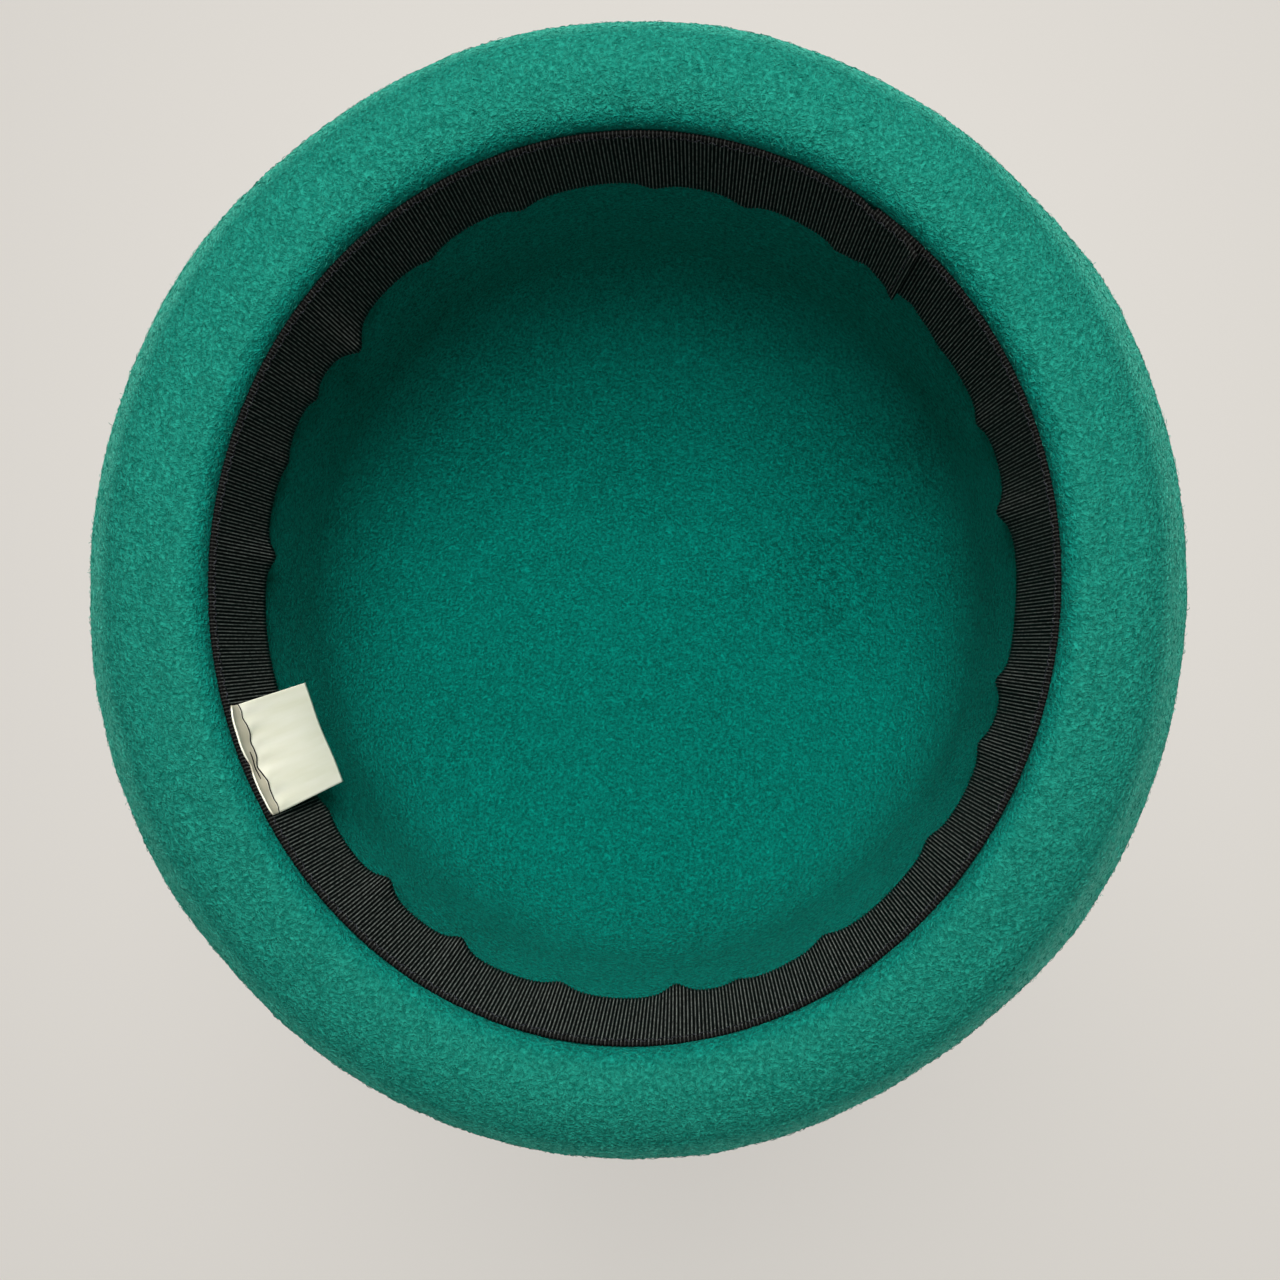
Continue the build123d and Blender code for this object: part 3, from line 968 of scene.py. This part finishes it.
def stitches(material):
    """The zigzag along the ribbon's sewn edge, and the short row that closes its lap."""
    tree = stitch_tree(material)
    short = stitch_shape("short_stitch", 1.7, 0.13, material)
    long = stitch_shape("long_stitch", 2.3, 0.12, material)
    around = np.linspace(LAP_BEARING - 0.5, LAP_BEARING - 359.5, 700)
    over = np.clip(1 - (LAP_BEARING - around - LAP_TURN) / 3, 0, 1)
    face = BAND_THICK + RIB_DEPTH
    points, facing = band_line(around, SEAM_SHARE, face + LAP_STEP * over)
    seam = sew("ribbon_stitches", tree, short, points, facing, SEAM_PITCH, 0.75, 0.18, 2)
    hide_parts("sweatband_stitches")
    row = np.linspace(0.14, 0.9, 30)
    lap_face = face + LAP_STEP + LAP_CURL * exp(-(1.0 / 1.6) ** 2)
    points = band_face(np.full(30, LAP_BEARING - 1.0), row, lap_face + 0 * row)
    inwards = -np.array([cos(radians(LAP_BEARING)), sin(radians(LAP_BEARING)), 0])
    lap = sew("lap_stitches", tree, long, points, np.tile(inwards, (30, 1)), LAP_PITCH, 0.12, 0.1, 3)
    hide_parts("lap_stitches")


def label_thread(material, place):
    """The wavy thread row through the label, and one loose extra stitch beside it."""
    share = np.linspace(-0.5, 0.5, 90)
    height, inward = seam_line(share)
    lift = end_bend(share) + TAPE / 2 + 0.06 + 0.04 * np.cos(share * 58)
    row = np.stack([share * LABEL_WIDTH, height, inward + lift], 1)
    share = np.linspace(-0.17, 0.08, 24)
    height, inward = seam_line(share)
    drop = 1.1 + 0.35 * np.sin(share * 24)
    loose_in = inward * (1 - drop / HEM) + end_bend(share) + 0.02
    loose = np.stack([share * LABEL_WIDTH, height - drop, loose_in], 1)
    row_points, row_faces = tube(row, 0.15, 7)
    loose_points, loose_faces = tube(loose, 0.13, 7)
    points = np.concatenate([carried(place, row_points), carried(place, loose_points)])
    faces = row_faces + [[len(row_points) + i for i in face] for face in loose_faces]
    piece = add_piece("label_thread", points, faces, material)
    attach(piece, "hat")
    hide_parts("label_stitches")


# Stage, light and camera -----------------------------------------------------------------------------

def one_way_paint(name, tone, glow):
    """A pale paint that shows from the front only, with a little light of its own."""
    material = bpy.data.materials.new(name)
    material.use_nodes = True
    net = Net(material.node_tree)
    material.node_tree.nodes.remove(material.node_tree.nodes["Principled BSDF"])
    behind = net.node("ShaderNodeNewGeometry", output="Backfacing")
    paint = net.node("ShaderNodeBsdfDiffuse", values={"Color": tone})
    shine = net.node("ShaderNodeEmission", values={"Color": tone, "Strength": glow})
    front = net.node("ShaderNodeMixShader", values={0: 0.5, 1: paint, 2: shine})
    clear = net.node("ShaderNodeBsdfTransparent")
    seen = net.node("ShaderNodeMixShader", values={0: behind, 1: front, 2: clear})
    net.tree.links.new(seen.socket, net.tree.nodes["Material Output"].inputs["Surface"])
    return material


def stage_piece(name, points, faces, material):
    """A stage surface in metres that stops no light."""
    mesh = bpy.data.meshes.new(name)
    mesh.from_pydata(points, [], faces)
    mesh.materials.append(material)
    mesh.shade_smooth()
    piece = bpy.data.objects.new(name, mesh)
    piece.visible_shadow = False
    piece.visible_diffuse = False
    piece.visible_glossy = False
    bpy.context.scene.collection.objects.link(piece)


def lathe(name, profile, material):
    """A round stage surface: a profile of radii and heights, turned about the hat's middle."""
    radii, heights = np.array(profile).T[:, :, None]
    angles = np.arange(STAGE_SIDES) * tau / STAGE_SIDES
    rings = np.stack([radii * np.cos(angles), radii * np.sin(angles), heights + 0 * angles], -1)
    faces = [tuple(reversed(face)) for face in grid_faces(len(profile), STAGE_SIDES, True)]
    innermost = int(np.argmin(radii))
    middle = range(innermost * STAGE_SIDES, (innermost + 1) * STAGE_SIDES)
    faces.append(tuple(middle) if innermost == 0 else tuple(reversed(middle)))
    stage_piece(name, rings.reshape(-1, 3).tolist(), faces, material)


def stage():
    """A round pale floor that turns up into a wall, and a round backdrop that closes it on top."""
    floor = [(0.02, 0), (1.0, 0), (2.0, 0)]
    for bend in np.radians(np.linspace(-90, 0, 13)):
        floor.append((FLOOR_FLAT + FLOOR_BEND * cos(bend), FLOOR_BEND + FLOOR_BEND * sin(bend)))
    floor.append((FLOOR_FLAT + FLOOR_BEND, WALL_TOP))
    lathe("floor", floor, one_way_paint("floor", colour(226, 223, 218), 0.62))
    lathe("backdrop", BACKDROP, one_way_paint("backdrop", colour(237, 233, 227), 1.05))
    world = bpy.data.worlds.new("studio")
    bpy.context.scene.world = world
    world.use_nodes = True
    background = world.node_tree.nodes["Background"]
    background.inputs["Color"].default_value = colour(244, 243, 240)
    background.inputs["Strength"].default_value = 0.18


def soft_light(name, place, size, power):
    """A square light that faces the middle of the hat."""
    lamp = bpy.data.lights.new(name, "AREA")
    lamp.size = size
    lamp.energy = power
    lamp.color = (1.0, 0.985, 0.955)
    holder = bpy.data.objects.new(name, lamp)
    holder.location = place
    holder.rotation_euler = (Vector((0, 0, 0.04)) - Vector(place)).to_track_quat("-Z", "Y").to_euler()
    bpy.context.scene.collection.objects.link(holder)


def lights():
    """A near window and two fills below the hat, for its underside, and two above it."""
    soft_light("window_below", (0.0, 0.29, -0.62), 0.4, 7.5)
    soft_light("fill_below", (0.0, 1.4, -0.5), 1.0, 4)
    soft_light("low_fill_below", (0.1, -1.2, -0.8), 1.0, 3.5)
    soft_light("window_above", (-0.9, -1.0, 1.5), 1.0, 22)
    soft_light("fill_above", (1.1, 0.6, 1.3), 1.2, 9)


def camera():
    """Below the hat, close to its axis, looking up into it."""
    data = bpy.data.cameras.new("camera")
    data.lens = 36.0
    data.sensor_width = 36.0
    data.clip_start = 0.01
    made = bpy.data.objects.new("camera", data)
    bpy.context.scene.collection.objects.link(made)
    tilt = Matrix.Identity(4)
    for angle, axis in zip(CAMERA_TURN, "XYZ"):
        tilt = Matrix.Rotation(radians(angle), 4, axis) @ tilt
    upwards = Matrix.Rotation(pi, 4, "Y")
    made.matrix_world = Matrix.Translation(CAMERA_PLACE) @ tilt @ upwards
    bpy.context.scene.camera = made


# The hat ---------------------------------------------------------------------------------------------

camera()
stage()
lights()
bpy.context.scene.view_settings.view_transform = "Standard"
felt_finish = wool_felt()
ribbon_finish = grosgrain()
ribbon_thread = thread("ribbon_thread", colour(11, 11, 13), colour(54, 56, 62))
black_thread = thread("black_thread", colour(5, 5, 5), colour(30, 29, 30))
felt = felt_body(felt_finish)
nap(felt)
sweatband(ribbon_finish)
label_place = label(satin_tape())
stitches(ribbon_thread)
label_thread(black_thread, label_place)
